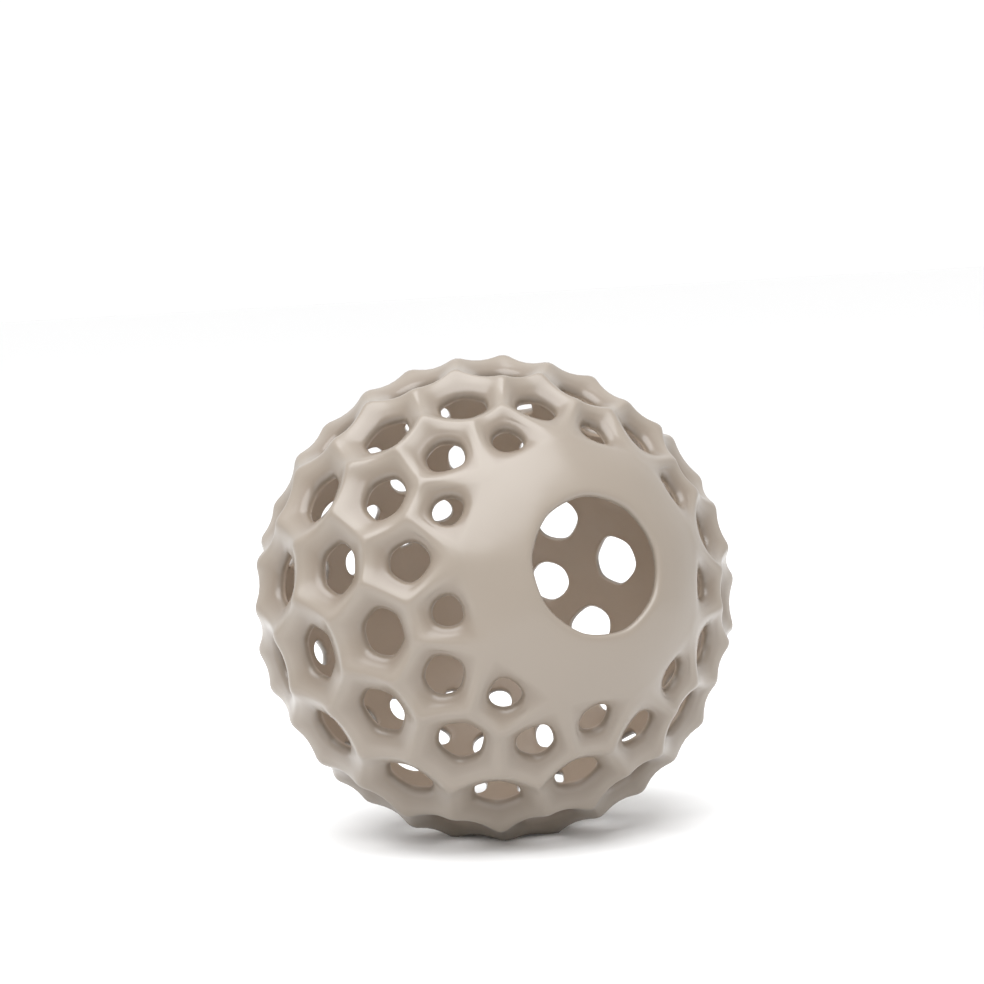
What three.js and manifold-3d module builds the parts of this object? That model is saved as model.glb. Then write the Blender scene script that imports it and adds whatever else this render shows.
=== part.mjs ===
// A pierced ceramic ball: one hollow casting with a round mouth, twelve rings of openings and a plain closed
// back. Every opening sits in a scooped cell, and the cells meet in ridges that rise to points.
// Lengths are in millimetres and angles in degrees. Polar angles start at the middle of the mouth.
import * as THREE from "three";
import { ConvexHull } from "three/addons/math/ConvexHull.js";
import { mergeVertices } from "three/addons/utils/BufferGeometryUtils.js";
import Module from "manifold-3d";

// Radii of the surfaces, before the ball is made a little shallower from mouth to back than it is across.
const POINT_RADIUS = 75;
const COLLAR_RADIUS = 73.6;
const RIM_RADIUS = 71.6;
const CAVITY_RADIUS = 68;
const DEPTH_SHARE = 0.945;

// One value for each ring, from the ring nearest the mouth to the ring nearest the back.
const HOLES_PER_RING = 9;
const RING_POLAR = [38.7, 46.6, 56.1, 67, 78.4, 90, 102.5, 116, 127.5, 137.2, 146.5, 155];
const HOLE_HALF_WIDTH = [3.7, 4.9, 5.85, 5.8, 5.95, 5.95, 5.95, 5.95, 5.5, 5.25, 3.2, 3.5];
const HOLE_SIX_SIDED = [0.1, 0.3, 0.6, 0.8, 0.9, 0.9, 0.9, 0.8, 0.5, 0.2, 0.1, 0];

// How far each kind of cell reaches from its middle before the cells are fitted together.
const REACH_PAST_HOLE = 3;
const COLLAR_REACH = 31;
const BACK_REACH = 20;

// The mouth's lip is a half round, and the collar and the back are smooth rows between it and the cells.
const MOUTH_HALF_WIDTH = 16.4;
const LIP_ROUNDING = 2;
const LIP_STEPS = 5;
const COLLAR_ROWS = [26, 22];
const BACK_ROWS = [12.5, 6];

// A ridge of the usual length dips by this much between its two points.
const RIDGE_SAG = 2.2;
const USUAL_RIDGE = 13;

// The ball lies on the points round one opening of this ring, ground off by this much below the lowest.
const REST_RING = 7;
const FLAT_SPOT_DEPTH = 0.6;

const rad = THREE.MathUtils.degToRad;
const deg = THREE.MathUtils.radToDeg;

function direction(polar, azimuth) {
  const across = Math.sin(rad(polar));
  return new THREE.Vector3(
    across * Math.cos(rad(azimuth)),
    across * Math.sin(rad(azimuth)),
    Math.cos(rad(polar)),
  );
}

// The part of one direction that is square to another, as a unit vector.
function squareTo(axis, vector) {
  return vector.clone().addScaledVector(axis, -vector.dot(axis)).normalize();
}

// The unit vector a given angle away from one direction towards another.
function towards(from, to, angle) {
  const side = squareTo(from, to);
  return from.clone().multiplyScalar(Math.cos(rad(angle))).addScaledVector(side, Math.sin(rad(angle)));
}

// The mouth, the openings ring by ring, and the closed back.
function layOutCells() {
  const cells = [{ kind: "mouth", axis: direction(0, 0), reach: COLLAR_REACH }];
  RING_POLAR.forEach((polar, ring) => {
    for (let i = 0; i < HOLES_PER_RING; i++) {
      const azimuth = (i + (ring % 2) / 2) * (360 / HOLES_PER_RING);
      cells.push({
        kind: "hole",
        axis: direction(polar, azimuth),
        reach: HOLE_HALF_WIDTH[ring] + REACH_PAST_HOLE,
        ring: ring + 1,
        halfWidth: HOLE_HALF_WIDTH[ring],
        sixSided: HOLE_SIX_SIDED[ring],
      });
    }
  });
  cells.push({ kind: "back", axis: direction(180, 0), reach: BACK_REACH });
  return cells;
}

// Each cell is a flat cut of a ball, and three cells meet in each corner of the cut ball. Those corners are
// the face directions of the hull over one point per cell, raised in proportion to the cell's reach.
function findPoints(cells) {
  const raised = cells.map((cell) => cell.axis.clone().divideScalar(Math.cos(rad(cell.reach))));
  const owners = new Map(raised.map((point, i) => [point, cells[i]]));
  const hull = new ConvexHull().setFromPoints(raised);
  for (const cell of cells) {
    cell.points = [];
  }
  for (const face of hull.faces) {
    const meeting = [face.edge, face.edge.next, face.edge.prev].map((edge) => owners.get(edge.head().point));
    const smooth = meeting.some((cell) => cell.kind !== "hole");
    const point = { axis: face.normal.clone(), smooth, radius: smooth ? COLLAR_RADIUS : POINT_RADIUS };
    for (const cell of meeting) {
      cell.points.push(point);
    }
  }
  for (const cell of cells) {
    const across = squareTo(cell.axis, cell.points[0].axis);
    const along = new THREE.Vector3().crossVectors(cell.axis, across);
    const turn = (point) => Math.atan2(point.axis.dot(along), point.axis.dot(across));
    cell.points.sort((a, b) => turn(a) - turn(b));
  }
}

// The ridge round a cell, anticlockwise from outside: each point, then the low middle of the ridge after it.
function ridgeRound(cell) {
  return cell.points.flatMap((point, i) => {
    const next = cell.points[(i + 1) % cell.points.length];
    const length = deg(point.axis.angleTo(next.axis));
    const sag = point.smooth && next.smooth ? 0 : RIDGE_SAG * (length / USUAL_RIDGE) ** 2;
    const middle = {
      axis: point.axis.clone().add(next.axis).normalize(),
      radius: (point.radius + next.radius) / 2 - sag,
    };
    return [point, middle];
  });
}

const corners = [];

// Fills the band between two closed rows that run anticlockwise, the first row further from the middle.
function addBand(outerRow, innerRow) {
  outerRow.forEach((spot, i) => {
    const j = (i + 1) % outerRow.length;
    corners.push(...spot, ...outerRow[j], ...innerRow[j]);
    corners.push(...spot, ...innerRow[j], ...innerRow[i]);
  });
}

function addBands(rows) {
  for (let i = 1; i < rows.length; i++) {
    addBand(rows[i - 1], rows[i]);
  }
}

function addFan(row, middle) {
  row.forEach((spot, i) => {
    corners.push(...spot, ...row[(i + 1) % row.length], ...middle);
  });
}

function place(axis, radius) {
  return axis.clone().multiplyScalar(radius).toArray();
}

// A row of spots at one angle from a cell's middle, one towards each spot of its ridge.
function rowAt(cell, ridge, angle, radius) {
  return ridge.map((spot) => place(towards(cell.axis, spot.axis, angle), radius));
}

// From the ridge down to the opening, straight through the wall, and back to under the ridge.
function addHole(cell) {
  const ridge = ridgeRound(cell);
  const reachTo = (spot) => deg(cell.axis.angleTo(spot.axis));
  const nearest = Math.min(...ridge.map(reachTo));
  const outline = ridge.map((spot) => cell.halfWidth * (1 + cell.sixSided * (reachTo(spot) / nearest - 1)));
  const straightIn = (angle) => deg(Math.asin((Math.sin(rad(angle)) * RIM_RADIUS) / CAVITY_RADIUS));
  addBands([
    ridge.map((spot) => place(spot.axis, spot.radius)),
    ridge.map((spot, i) => place(towards(cell.axis, spot.axis, outline[i]), RIM_RADIUS)),
    ridge.map((spot, i) => place(towards(cell.axis, spot.axis, straightIn(outline[i])), CAVITY_RADIUS)),
    ridge.map((spot) => place(spot.axis, CAVITY_RADIUS)),
  ]);
}

function addMouth(cell) {
  const ridge = ridgeRound(cell);
  const lip = [];
  for (let i = 0; i <= LIP_STEPS; i++) {
    const turn = (Math.PI * i) / LIP_STEPS;
    const angle = MOUTH_HALF_WIDTH + LIP_ROUNDING * (1 - Math.sin(turn));
    const radius = THREE.MathUtils.lerp(COLLAR_RADIUS, CAVITY_RADIUS, (1 - Math.cos(turn)) / 2);
    lip.push(rowAt(cell, ridge, angle, radius));
  }
  addBands([
    ridge.map((spot) => place(spot.axis, spot.radius)),
    ...COLLAR_ROWS.map((angle) => rowAt(cell, ridge, angle, COLLAR_RADIUS)),
    ...lip,
    ridge.map((spot) => place(spot.axis, CAVITY_RADIUS)),
  ]);
}

// The back stays closed: one cap outside, and one inside that faces the cavity.
function addBack(cell) {
  const ridge = ridgeRound(cell);
  const outside = BACK_ROWS.map((angle) => rowAt(cell, ridge, angle, COLLAR_RADIUS));
  addBands([ridge.map((spot) => place(spot.axis, spot.radius)), ...outside]);
  addFan(outside.at(-1), place(cell.axis, COLLAR_RADIUS));

  const backwards = [...ridge].reverse();
  const inside = BACK_ROWS.map((angle) => rowAt(cell, backwards, angle, CAVITY_RADIUS));
  addBands([backwards.map((spot) => place(spot.axis, CAVITY_RADIUS)), ...inside]);
  addFan(inside.at(-1), place(cell.axis, CAVITY_RADIUS));
}

const cells = layOutCells();
findPoints(cells);
const addCell = { mouth: addMouth, hole: addHole, back: addBack };
for (const cell of cells) {
  addCell[cell.kind](cell);
}
const shell = new THREE.BufferGeometry();
shell.setAttribute("position", new THREE.Float32BufferAttribute(corners, 3));
shell.scale(1, 1, DEPTH_SHARE);

// The opening that the ball lies on points straight down, and the mouth looks out to the front, along -Y.
const restCell = cells.find((cell) => cell.ring === REST_RING);
const restPoints = restCell.points.map((point) => {
  return point.axis.clone().multiply(new THREE.Vector3(1, 1, DEPTH_SHARE)).multiplyScalar(point.radius);
});
const down = new THREE.Vector3();
restPoints.forEach((point, i) => {
  down.add(new THREE.Vector3().crossVectors(point, restPoints[(i + 1) % restPoints.length]));
});
down.normalize();
const up = down.clone().negate();
const rearward = squareTo(up, cells[0].axis).negate();
const sideways = new THREE.Vector3().crossVectors(rearward, up);
shell.applyMatrix4(new THREE.Matrix4().makeBasis(sideways, rearward, up).transpose());

const wasm = await Module();
wasm.setup();

function toSolid(geometry) {
  const bare = new THREE.BufferGeometry();
  bare.setAttribute("position", geometry.getAttribute("position"));
  const merged = mergeVertices(bare, 1e-4);
  return new wasm.Manifold(
    new wasm.Mesh({
      numProp: 3,
      vertProperties: merged.attributes.position.array,
      triVerts: new Uint32Array(merged.index.array),
    }),
  );
}

// The flat spot: everything below the rest plane is ground away.
const restHeight = FLAT_SPOT_DEPTH - Math.min(...restPoints.map((point) => point.dot(down)));
const groundAway = new THREE.BoxGeometry(POINT_RADIUS, POINT_RADIUS, POINT_RADIUS).toNonIndexed();
groundAway.translate(0, 0, restHeight - POINT_RADIUS / 2);
const rested = toSolid(shell).subtract(toSolid(groundAway)).getMesh();

// The origin is on the rest plane, under the middle of the ball's outer sizes.
const ball = new THREE.BufferGeometry();
ball.setAttribute("position", new THREE.BufferAttribute(rested.vertProperties, 3));
ball.setIndex(new THREE.BufferAttribute(rested.triVerts, 1));
ball.computeBoundingBox();
const middle = ball.boundingBox.getCenter(new THREE.Vector3());
ball.translate(-middle.x, -middle.y, -restHeight);
ball.computeVertexNormals();

const glaze = new THREE.MeshStandardMaterial({ color: 0xb9aca0, roughness: 0.28, metalness: 0 });
const piercedBall = new THREE.Mesh(ball, glaze);
piercedBall.name = "pierced_ball";

const part = new THREE.Group();
part.add(piercedBall);

export default part;
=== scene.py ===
import bisect
import math
import random

import bmesh
import bpy
from mathutils import Matrix, Vector, noise


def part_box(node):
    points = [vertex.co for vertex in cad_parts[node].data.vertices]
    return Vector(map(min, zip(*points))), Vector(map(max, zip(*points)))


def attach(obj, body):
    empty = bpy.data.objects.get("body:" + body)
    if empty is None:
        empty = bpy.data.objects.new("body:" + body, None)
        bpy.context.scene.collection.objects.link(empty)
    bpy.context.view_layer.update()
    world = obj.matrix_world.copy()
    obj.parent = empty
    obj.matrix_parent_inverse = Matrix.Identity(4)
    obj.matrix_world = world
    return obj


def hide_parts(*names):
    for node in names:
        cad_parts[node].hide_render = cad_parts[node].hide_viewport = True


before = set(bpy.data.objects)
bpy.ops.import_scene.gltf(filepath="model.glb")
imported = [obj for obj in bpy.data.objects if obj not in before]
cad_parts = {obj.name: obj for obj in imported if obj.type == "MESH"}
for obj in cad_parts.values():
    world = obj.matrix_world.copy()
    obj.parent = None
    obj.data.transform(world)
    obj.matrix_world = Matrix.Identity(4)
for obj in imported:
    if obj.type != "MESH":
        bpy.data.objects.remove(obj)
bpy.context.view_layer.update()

# The pierced ball: one hollow slip-cast stoneware body, about 150 mm across. Its openings were cut through
# the soft clay in twelve rings of nine, between the mouth and the closed back. Angles are in degrees, and a
# polar angle starts at the middle of the mouth.
mm = 0.001
collar_reach = 30.0
back_reach = 20.0
holes_per_ring = 9
ring_polar = (38.7, 46.6, 56.1, 67.0, 78.4, 90.0, 102.5, 116.0, 127.5, 137.2, 146.5, 155.0)
hole_half_width = (3.8, 4.7, 5.5, 5.6, 5.8, 5.8, 5.8, 5.75, 5.35, 5.05, 3.2, 3.4)
hole_six_sided = (0.1, 0.3, 0.5, 0.65, 0.7, 0.7, 0.7, 0.65, 0.4, 0.2, 0.1, 0.0)
cell_reach = (6.7, 7.9, 8.85, 8.8, 8.95, 8.95, 8.95, 8.95, 8.5, 8.25, 6.2, 6.5)


def direction(polar, azimuth):
    across = math.sin(math.radians(polar))
    turn = math.radians(azimuth)
    return Vector((across * math.cos(turn), across * math.sin(turn), math.cos(math.radians(polar))))


class Cell:
    """One scooped dish with its opening, or the plain collar or back."""

    def __init__(self, axis, reach, ring=0, half_width=0.0, six_sided=0.0):
        self.axis = axis
        self.reach = reach
        self.ring = ring
        self.half_width = half_width
        self.six_sided = six_sided
        self.points = []
        self.turns = []
        self.outline = []


mouth = Cell(direction(0, 0), collar_reach)
back = Cell(direction(180, 0), back_reach)
holes = []
rings = zip(ring_polar, cell_reach, hole_half_width, hole_six_sided)
for ring, (polar, reach, half_width, six_sided) in enumerate(rings, start=1):
    half_step = ((ring - 1) % 2) / 2
    for i in range(holes_per_ring):
        azimuth = (i + half_step) * 360 / holes_per_ring
        holes.append(Cell(direction(polar, azimuth), reach, ring, half_width, six_sided))
cells = [mouth, *holes, back]

# The points: where three dishes meet, the clay between them stands up in a small blunt point. Near the collar
# they were sponged away. Each starts a little too high, because the last sponging takes that much off it.
point_radius = 75.0 * mm
tip_lost = 0.9 * mm
collar_radius = 73.6 * mm
no_points_to = 41.0
full_points_from = 59.0


def degrees_between(a, b):
    return math.degrees(a.angle(b))


def part_way(value, start, end):
    """How far a value has come on the way from start to end, held between 0 and 1."""
    return max(0.0, min(1.0, (value - start) / (end - start)))


class Point:
    def __init__(self, axis):
        tip = point_radius + tip_lost
        sponging = part_way(degrees_between(axis, mouth.axis), full_points_from, no_points_to)
        self.axis = axis
        self.radius = tip + (collar_radius - tip) * sponging


def square_to(axis, vector):
    """The unit vector square to the axis, on the side that the other vector leans to."""
    return (vector - axis * vector.dot(axis)).normalized()


def turn_round(cell, axis):
    """The turn of this direction round the middle of the cell, in radians from the cell's first point."""
    across = square_to(cell.axis, cell.points[0].axis)
    along = cell.axis.cross(across)
    return math.atan2(axis.dot(along), axis.dot(across))


# Each cell is a flat cut of a ball, and the points lie where the faces of one hull look. It is the hull over
# one spot for each cell, raised the more the further the cell reaches.
raised = bmesh.new()
owner = {}
for cell in cells:
    owner[raised.verts.new(cell.axis / math.cos(math.radians(cell.reach)))] = cell
bmesh.ops.convex_hull(raised, input=raised.verts)
for face in raised.faces:
    outward = face.normal if face.normal.dot(face.calc_center_median()) > 0 else -face.normal
    point = Point(outward.copy())
    for vert in face.verts:
        owner[vert].points.append(point)
raised.free()
for cell in cells:
    cell.points = sorted(cell.points, key=lambda point: turn_round(cell, point.axis))

# The ridges: the clay left between two dishes. Each hangs between its two points like a slack line, but never
# below the back of its bar. The steps are the same from either end, so that two cells share every spot.
bar_radius = 72.0 * mm
ridge_sag = 3.2 * mm
usual_ridge = 13.0
ridge_steps = (0.0, 0.05, 0.14, 0.29, 0.5, 0.71, 0.86, 0.95)


class Spot:
    def __init__(self, axis, radius):
        self.axis = axis
        self.radius = radius


def eased(share):
    """The same share of the way with a slow start and a slow end."""
    return share * share * (3 - 2 * share)


def ridge_round(cell):
    """The spots of the ridge round the cell, anticlockwise from outside."""
    spots = []
    for i, point in enumerate(cell.points):
        end = cell.points[(i + 1) % len(cell.points)]
        hang = ridge_sag * degrees_between(point.axis, end.axis) / usual_ridge
        sag = min(hang, (point.radius + end.radius) / 2 - bar_radius)
        for share in ridge_steps:
            rise = (end.radius - point.radius) * eased(share)
            dip = sag * 4 * share * (1 - share)
            spots.append(Spot(point.axis.slerp(end.axis, share), point.radius + rise - dip))
    return spots


# The openings: each was cut with a knife to the shape of its cell, with round corners, and no two came out
# quite alike. The outer edge was then rubbed round. The random draws stand for the hand that cut them.
size_change = 0.03
place_change = 0.3
oval_change = 0.22
corner_change = 0.14
corner_rounding = math.radians(11.0)
same_turn = 1e-7
rim_radius = 70.9 * mm
rim_rounding = 3.0 * mm
edge_slope = math.radians(26.0)
rim_turn = math.degrees(rim_rounding / rim_radius)
flare = rim_turn * (1 - math.sin(edge_slope))
hand_cut = random.Random(41)


def cut_outline(cell):
    """Sets how far the opening reaches from its middle at each turn."""
    ridge = ridge_round(cell)
    reach = [degrees_between(cell.axis, spot.axis) for spot in ridge]
    nearest = min(reach)
    turns = [turn_round(cell, spot.axis) for spot in ridge]
    size = cell.half_width * (1 + hand_cut.uniform(-size_change, size_change))
    waves = [
        (count, hand_cut.uniform(0, change), hand_cut.uniform(0, math.tau))
        for count, change in ((1, place_change), (2, oval_change), (3, corner_change))
    ]
    cut = []
    for turn in turns:
        total = 0.0
        weight = 0.0
        for i, other in enumerate(turns):
            apart = (other - turn + math.pi) % math.tau - math.pi
            gap = (turns[(i + 1) % len(turns)] - turns[i - 1]) % math.tau
            share = gap * math.exp(-((apart / corner_rounding) ** 2) / 2)
            total += share * reach[i]
            weight += share
        edge = size * (1 + cell.six_sided * (total / weight / nearest - 1))
        for count, change, phase in waves:
            edge += change * math.cos(count * turn + phase)
        cut.append((turn, edge))
    cut.sort()
    cell.turns = [turn for turn, edge in cut]
    cell.outline = [edge for turn, edge in cut]


def opening_edge(cell, axis):
    """How far the opening reaches from its middle towards this direction."""
    turn = turn_round(cell, axis)
    after = bisect.bisect_left(cell.turns, turn - same_turn)
    before = (after - 1) % len(cell.turns)
    after = after % len(cell.turns)
    span = (cell.turns[after] - cell.turns[before]) % math.tau
    share = ((turn - cell.turns[before]) % math.tau) / span
    return cell.outline[before] + (cell.outline[after] - cell.outline[before]) * min(1.0, share)


for cell in holes:
    cut_outline(cell)

# The collar and the back: wide smooth fields of the same wall. They fall gently to the openings beside them,
# and the net of bars and points leads over into them without a crease.
shoulder_from = 21.0
shoulder_to = 37.0
shoulder_drop = 0.7 * mm
collar_dish_fade = 2.2
nearby_cosine = 0.92
collar_to = 33.0
net_from = 50.0
net_to = 150.0
back_from = 161.0


def smooth_radius(axis):
    fall = part_way(degrees_between(axis, mouth.axis), shoulder_from, shoulder_to)
    level = collar_radius - shoulder_drop * eased(fall)
    dip = 0.0
    for cell in holes:
        if axis.dot(cell.axis) > nearby_cosine:
            past = degrees_between(axis, cell.axis) - opening_edge(cell, axis) - flare
            dip += math.exp(-max(0.0, past) / collar_dish_fade)
    return level - (level - rim_radius) * min(1.0, dip)


def softened(axis, radius):
    """The radius that the net has here, led over into the smooth fields near the collar and the back."""
    polar = degrees_between(axis, mouth.axis)
    share = max(part_way(polar, net_from, collar_to), part_way(polar, net_to, back_from))
    if share == 0.0:
        return radius
    return radius + (smooth_radius(axis) - radius) * eased(share)


# The dishes: the clay was scooped out round each opening, steepest at its edge, and smooth bars with round
# backs were left, with the points standing up out of them. Each opening goes straight through the wall.
cavity_radius = 67.0 * mm
inner_rounding = 0.5 * mm
bar_rows = (1.0, 0.93, 0.83, 0.71, 0.57, 0.42, 0.27, 0.13, 0.0)
point_taper = 1.35
rim_steps = 5
inner_steps = 2
cavity_rows = (0.5, 1.0)
inner_turn = math.degrees(inner_rounding / cavity_radius)

body = bmesh.new()
height_layer = body.verts.layers.float.new("ridge_height")
inside_layer = body.verts.layers.float.new("inside")


def towards(start, end, degrees):
    """The direction this many degrees away from start, on the way to end."""
    angle = math.radians(degrees)
    return start * math.cos(angle) + square_to(start, end) * math.sin(angle)


def row(axes, radii, height=0.0):
    """A closed row of the body's corners. Their height is 0 at an opening and 1 on a ridge."""
    made = []
    for axis, radius in zip(axes, radii):
        vert = body.verts.new(axis * radius)
        vert[height_layer] = height
        made.append(vert)
    return made


def join_rows(rows):
    for outer, inner in zip(rows, rows[1:]):
        for i in range(len(outer)):
            j = (i + 1) % len(outer)
            body.faces.new((outer[i], outer[j], inner[j], inner[i]))


for cell in holes:
    ridge = ridge_round(cell)
    reach = [degrees_between(cell.axis, spot.axis) for spot in ridge]
    outline = [opening_edge(cell, spot.axis) for spot in ridge]
    rows = []
    for climb in bar_rows:
        bar = (bar_radius - rim_radius) * (1 - (1 - climb) ** 2)
        axes = []
        radii = []
        for spot, far, near in zip(ridge, reach, outline):
            axis = towards(cell.axis, spot.axis, near + flare + (far - near - flare) * climb)
            axes.append(axis)
            radii.append(softened(axis, rim_radius + bar + (spot.radius - bar_radius) * climb**point_taper))
        rows.append(row(axes, radii, climb))
    for step in range(1, rim_steps + 1):
        turn = edge_slope + (math.pi / 2 - edge_slope) * step / rim_steps
        widening = rim_turn * (1 - math.sin(turn))
        drop = rim_rounding * (math.cos(edge_slope) - math.cos(turn))
        axes = [towards(cell.axis, spot.axis, near + widening) for spot, near in zip(ridge, outline)]
        rows.append(row(axes, [rim_radius - drop] * len(axes)))
    widths = [rim_radius * math.sin(math.radians(near)) for near in outline]
    for step in range(inner_steps + 1):
        turn = math.pi / 2 * step / inner_steps
        radius = cavity_radius + inner_rounding * (1 - math.sin(turn))
        widening = inner_turn * (1 - math.cos(turn))
        angles = [math.degrees(math.asin(width / radius)) + widening for width in widths]
        axes = [towards(cell.axis, spot.axis, angle) for spot, angle in zip(ridge, angles)]
        rows.append(row(axes, [radius] * len(axes)))
    for share in cavity_rows:
        axes = [
            towards(cell.axis, spot.axis, angle + (far - angle) * share)
            for spot, angle, far in zip(ridge, angles, reach)
        ]
        rows.append(row(axes, [cavity_radius] * len(axes)))
    join_rows(rows)

# The mouth: a round opening about 41 mm wide, cut cleanly in the collar. The collar thins towards its full
# round lip, and the wall thickens again inside.
mouth_half_width = 16.4
lip_thickness = 3.2 * mm
lip_steps = 10
collar_rows = (0.08, 0.18, 0.3, 0.44, 0.58, 0.72, 0.84, 0.94)
mouth_inside_rows = (0.12, 0.3, 0.5, 0.75)
lip_turn = math.degrees(lip_thickness / 2 / collar_radius)
lip_edge = mouth_half_width + lip_turn
lip_inside = collar_radius - lip_thickness

ridge = ridge_round(mouth)
ridge_axes = [spot.axis for spot in ridge]
reach = [degrees_between(mouth.axis, axis) for axis in ridge_axes]
rows = [row(ridge_axes, [softened(spot.axis, spot.radius) for spot in ridge], 1.0)]
for share in collar_rows:
    axes = [
        towards(mouth.axis, axis, far + (lip_edge - far) * share) for axis, far in zip(ridge_axes, reach)
    ]
    rows.append(row(axes, [smooth_radius(axis) for axis in axes], 1.0))
for step in range(lip_steps + 1):
    turn = math.pi * step / lip_steps
    angle = lip_edge - lip_turn * math.sin(turn)
    radius = collar_radius - lip_thickness * (1 - math.cos(turn)) / 2
    axes = [towards(mouth.axis, axis, angle) for axis in ridge_axes]
    rows.append(row(axes, [radius] * len(axes), 1 - step / lip_steps))
for share in mouth_inside_rows:
    axes = [
        towards(mouth.axis, axis, lip_edge + (far - lip_edge) * share) for axis, far in zip(ridge_axes, reach)
    ]
    radius = lip_inside + (cavity_radius - lip_inside) * eased(share)
    rows.append(row(axes, [radius] * len(axes)))
rows.append(row(ridge_axes, [cavity_radius] * len(ridge_axes)))
join_rows(rows)

# The back: a plain cap of the same wall, left closed and smooth on both sides. The inner side faces the
# cavity, so its rows run the other way round.
back_rows = (18.0, 16.0, 13.5, 10.5, 7.0, 3.5)


def close_cap(rows, middle):
    join_rows(rows)
    last = rows[-1]
    for i in range(len(last)):
        body.faces.new((last[i], last[(i + 1) % len(last)], middle))


ridge = ridge_round(back)
ridge_axes = [spot.axis for spot in ridge]
rows = [row(ridge_axes, [softened(spot.axis, spot.radius) for spot in ridge], 1.0)]
for angle in back_rows:
    axes = [towards(back.axis, axis, angle) for axis in ridge_axes]
    rows.append(row(axes, [smooth_radius(axis) for axis in axes], 1.0))
close_cap(rows, row([back.axis], [collar_radius], 1.0)[0])

ridge_axes.reverse()
rows = [row(ridge_axes, [cavity_radius] * len(ridge_axes))]
for angle in back_rows:
    axes = [towards(back.axis, axis, angle) for axis in ridge_axes]
    rows.append(row(axes, [cavity_radius] * len(axes)))
close_cap(rows, row([back.axis], [cavity_radius])[0])

# The finish of the clay: the cells are closed up into one skin, and the sponge rounds the ridges and leaves
# the edges of the openings. The wall was never quite even, and wanders by a fraction of a millimetre.
seam = 0.01 * mm
sponge_passes = 7
sponge_pull = 0.5
sponged_from = 0.2
unevenness = 0.22 * mm
unevenness_length = 11.0 * mm
inside_from = 68.4 * mm
inside_to = 67.4 * mm

bmesh.ops.remove_doubles(body, verts=body.verts, dist=seam)
sponged = [vert for vert in body.verts if vert[height_layer] > sponged_from]
for _ in range(sponge_passes):
    bmesh.ops.smooth_vert(
        body, verts=sponged, factor=sponge_pull, use_axis_x=True, use_axis_y=True, use_axis_z=True
    )
# The inside mask below picks out the inner wall, which the glaze paints paler as painted light inside the
# cavity.
for vert in body.verts:
    vert[inside_layer] = part_way(vert.co.length, inside_from, inside_to)
    vert.co += vert.co.normalized() * unevenness * noise.noise(vert.co / unevenness_length)

# The flat spot: the ball is a little shallower from mouth to back than it is across. It lies with the mouth
# to the front, on the points round one opening of the seventh ring, which were ground off level.
depth_share = 0.945
rest_ring = 7
flat_spot_depth = 0.6 * mm

rest_cell = next(cell for cell in holes if cell.ring == rest_ring)
rest_points = []
for point in rest_cell.points:
    spot = point.axis * (point.radius - tip_lost)
    rest_points.append(Vector((spot.x, spot.y, spot.z * depth_share)))
down = Vector()
for i, spot in enumerate(rest_points):
    down += spot.cross(rest_points[(i + 1) % len(rest_points)])
down.normalize()
rearward = -square_to(-down, mouth.axis)
sideways = rearward.cross(-down)
lying = Matrix((sideways, rearward, -down)).to_4x4() @ Matrix.Diagonal((1, 1, depth_share, 1))
rest_height = min(spot.dot(down) for spot in rest_points) - flat_spot_depth

bmesh.ops.transform(body, matrix=lying, verts=body.verts)
for vert in body.verts:
    vert.co.z = max(vert.co.z, -rest_height)
solid_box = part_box("pierced_ball")
solid_middle = (solid_box[0][1] + solid_box[1][1]) / 2
depths = [vert.co.y for vert in body.verts]
ball_middle = Vector((0.0, solid_middle - (min(depths) + max(depths)) / 2, rest_height))
bmesh.ops.translate(body, vec=ball_middle, verts=body.verts)

ball_mesh = bpy.data.meshes.new("glazed_ball")
body.to_mesh(ball_mesh)
body.free()
ball_mesh.shade_smooth()
ball = bpy.data.objects.new("glazed_ball", ball_mesh)
bpy.context.scene.collection.objects.link(ball)
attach(ball, "root")
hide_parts("pierced_ball")

# The glaze: a warm grey-brown gloss, poured over and through the ball. It is pale on the ridges, where it
# runs thin, and darker in the dishes, partly where it pools and partly as painted shade round the openings.
# The inner wall is painted paler, as painted light inside the cavity. It is faintly clouded, and its surface
# undulates a little.
# Painted shade: the dish colour is darker than pooled glaze alone, to stand for the shade round the openings.
pooled_glaze_and_painted_shade_colour = (0.162, 0.125, 0.092, 1.0)
ridge_colour = (0.216, 0.179, 0.142, 1.0)
# Painted light: the inner wall gets this much paler colour to stand for the light inside the cavity.
painted_inner_light_colour = (0.43, 0.34, 0.262, 1.0)
cloud_strength = 0.5
dark_up_to = 0.1
pale_from = 0.85

glaze = bpy.data.materials.new("greige_glaze")
glaze.use_nodes = True
nodes = glaze.node_tree.nodes
links = glaze.node_tree.links
shader = nodes["Principled BSDF"]
shader.inputs["Roughness"].default_value = 0.4
shader.inputs["Coat Weight"].default_value = 0.5
shader.inputs["Coat Roughness"].default_value = 0.22
place = nodes.new("ShaderNodeTexCoord")

height = nodes.new("ShaderNodeAttribute")
height.attribute_name = "ridge_height"
clouds = nodes.new("ShaderNodeTexNoise")
clouds.inputs["Scale"].default_value = 38.0
clouds.inputs["Detail"].default_value = 4.0
clouds.inputs["Roughness"].default_value = 0.55
links.new(place.outputs["Object"], clouds.inputs["Vector"])
paleness = nodes.new("ShaderNodeMath")
paleness.operation = "MULTIPLY_ADD"
paleness.inputs[1].default_value = cloud_strength
links.new(clouds.outputs["Fac"], paleness.inputs[0])
links.new(height.outputs["Fac"], paleness.inputs[2])
# The ramp darkens towards the openings: partly pooled glaze, partly painted shade.
tint = nodes.new("ShaderNodeValToRGB")
tint.color_ramp.elements[0].position = dark_up_to
tint.color_ramp.elements[0].color = pooled_glaze_and_painted_shade_colour
tint.color_ramp.elements[1].position = pale_from
tint.color_ramp.elements[1].color = ridge_colour
links.new(paleness.outputs["Value"], tint.inputs["Fac"])
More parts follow.
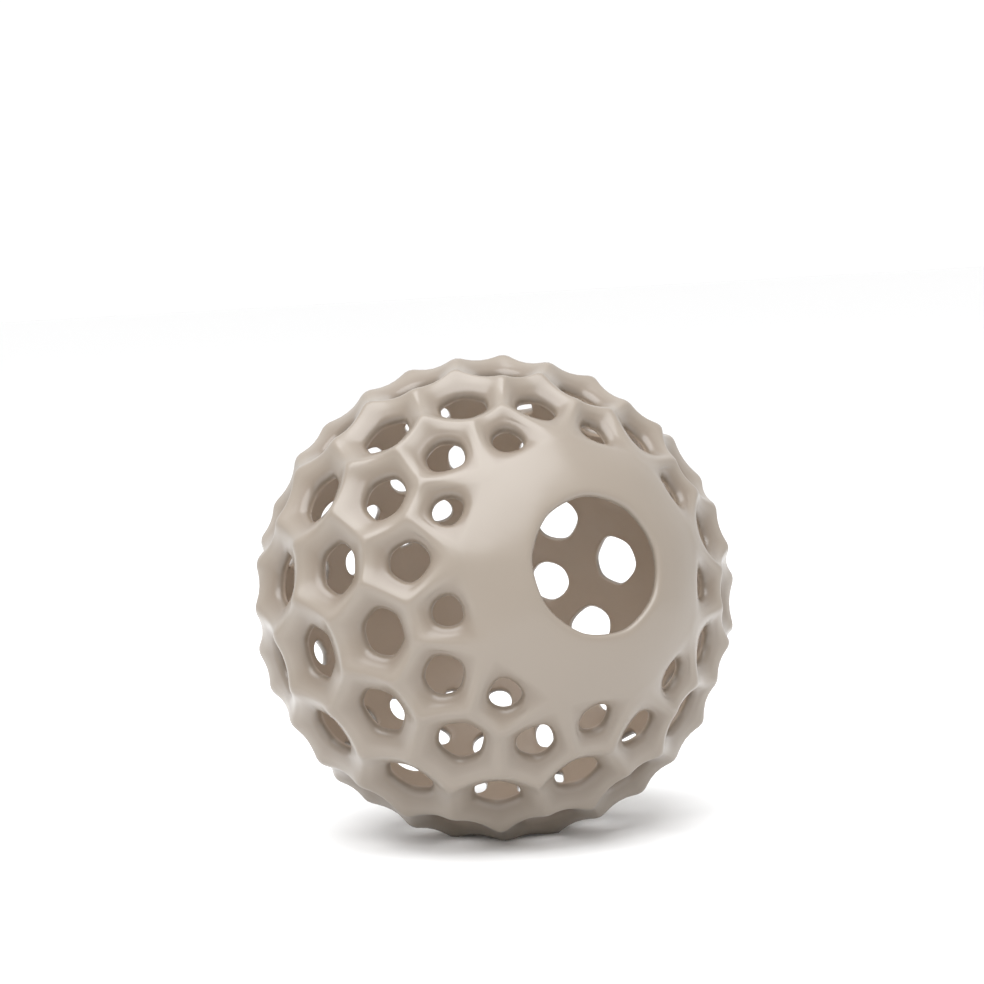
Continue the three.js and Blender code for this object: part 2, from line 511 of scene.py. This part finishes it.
# Painted light: the inner wall is mixed over to the paler colour.
inside = nodes.new("ShaderNodeAttribute")
inside.attribute_name = "inside"
skin = nodes.new("ShaderNodeMix")
skin.data_type = "RGBA"
skin.inputs["B"].default_value = painted_inner_light_colour
links.new(inside.outputs["Fac"], skin.inputs["Factor"])
links.new(tint.outputs["Color"], skin.inputs["A"])
links.new(skin.outputs["Result"], shader.inputs["Base Color"])

ripple = nodes.new("ShaderNodeTexNoise")
ripple.inputs["Scale"].default_value = 90.0
ripple.inputs["Detail"].default_value = 2.0
links.new(place.outputs["Object"], ripple.inputs["Vector"])
relief = nodes.new("ShaderNodeBump")
relief.inputs["Strength"].default_value = 0.25
relief.inputs["Distance"].default_value = 0.6 * mm
links.new(ripple.outputs["Fac"], relief.inputs["Height"])
links.new(relief.outputs["Normal"], shader.inputs["Normal"])
ball_mesh.materials.append(glaze)

# The table: one flat, matt white sheet, so wide that its far edge lies near the horizon. It only shows the
# ball, and isn't a part of it.
table_half_width = 6.0

table_mesh = bpy.data.meshes.new("white_table")
table = bpy.data.objects.new("white_table", table_mesh)
sheet = bmesh.new()
bmesh.ops.create_grid(sheet, x_segments=1, y_segments=1, size=table_half_width)
sheet.to_mesh(table_mesh)
sheet.free()
bpy.context.scene.collection.objects.link(table)
white = bpy.data.materials.new("white_table")
white.use_nodes = True
white_shader = white.node_tree.nodes["Principled BSDF"]
white_shader.inputs["Base Color"].default_value = (0.93, 0.93, 0.93, 1.0)
white_shader.inputs["Roughness"].default_value = 0.6
table_mesh.materials.append(white)

# The camera: it stands about a metre off, a little above the ball, and sees the mouth on its right. The
# radius and the middle of the ball are in pixels of the photograph, and the distance is in radii of the ball.
photo_size = 984
ball_pixels = 243.8
ball_in_photo = (494.9, 597.5)
distance = 13.0
view_turn = -27.54
view_height = 4.97
view_roll = -2.54
sensor_width = 36.0

camera_data = bpy.data.cameras.new("camera")
camera = bpy.data.objects.new("camera", camera_data)
bpy.context.scene.collection.objects.link(camera)
bpy.context.scene.camera = camera
focal = ball_pixels * distance
camera_data.sensor_width = sensor_width
camera_data.lens = focal * sensor_width / photo_size
aim = (
    Matrix.Rotation(math.radians(view_turn), 3, "Z")
    @ Matrix.Rotation(math.radians(90 - view_height), 3, "X")
    @ Matrix.Rotation(math.radians(view_roll), 3, "Z")
)
photo_middle = photo_size / 2
to_the_right = (ball_in_photo[0] - photo_middle) / focal * distance
upwards = (photo_middle - ball_in_photo[1]) / focal * distance
ball_from_camera = Vector((to_the_right, upwards, -distance))
camera.location = ball_middle - aim @ (ball_from_camera * point_radius)
camera.rotation_euler = aim.to_euler()

# The light: white surroundings, and one large round softbox overhead, a little to the camera's side of the
# ball and to its left. It gives the soft gloss on the ridges and the shadow on the table.
world = bpy.data.worlds.new("studio")
bpy.context.scene.world = world
world.use_nodes = True
world.node_tree.nodes["Background"].inputs["Color"].default_value = (1.0, 1.0, 1.0, 1.0)
world.node_tree.nodes["Background"].inputs["Strength"].default_value = 1.05
box_data = bpy.data.lights.new("softbox", "AREA")
box_data.shape = "DISK"
box_data.size = 1.8
box_data.energy = 30.0
box_data.color = (0.96, 0.98, 1.0)
softbox = bpy.data.objects.new("softbox", box_data)
softbox.location = (-0.36, -0.3, 1.25)
softbox.rotation_euler = (ball_middle - softbox.location).to_track_quat("-Z", "Y").to_euler()
bpy.context.scene.collection.objects.link(softbox)
bpy.context.scene.view_settings.view_transform = "Standard"
